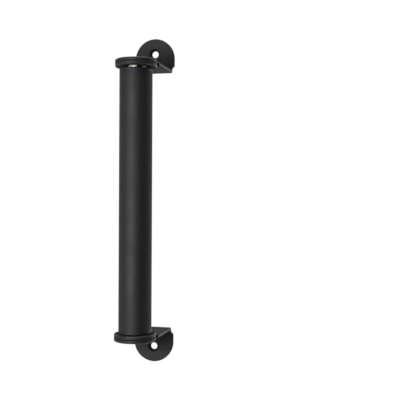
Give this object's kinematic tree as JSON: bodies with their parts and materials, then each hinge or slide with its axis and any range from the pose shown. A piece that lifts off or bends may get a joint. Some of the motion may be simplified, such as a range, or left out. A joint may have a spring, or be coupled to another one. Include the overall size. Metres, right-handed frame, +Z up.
{
  "type": "barn door pull handle",
  "caption": "Straight pull handle for a sliding barn door: a round grip tube held between bent plate brackets with countersunk screw holes, in satin black.",
  "frame": {"origin": "on the door's face, halfway between the two holes for the door screws", "axes": "+Z up along the handle, +Y into the door, +X across the handle to the right as seen from in front"},
  "size_m": [0.0334, 0.066, 0.2672],
  "materials": {
    "powder_coat": "satin black powder coat with a fine grain",
    "bare_plug": "bare turned zinc plate",
    "black_screw": "black oxide"
  },
  "bodies": {
    "root": {"grip_tube": "powder_coat", "upper_bracket": "powder_coat", "lower_bracket": "powder_coat", "upper_flange": "powder_coat", "lower_flange": "powder_coat", "upper_plug": "bare_plug", "lower_plug": "bare_plug", "upper_centre_screw": "black_screw", "lower_centre_screw": "black_screw"}
  },
  "joints": []
}
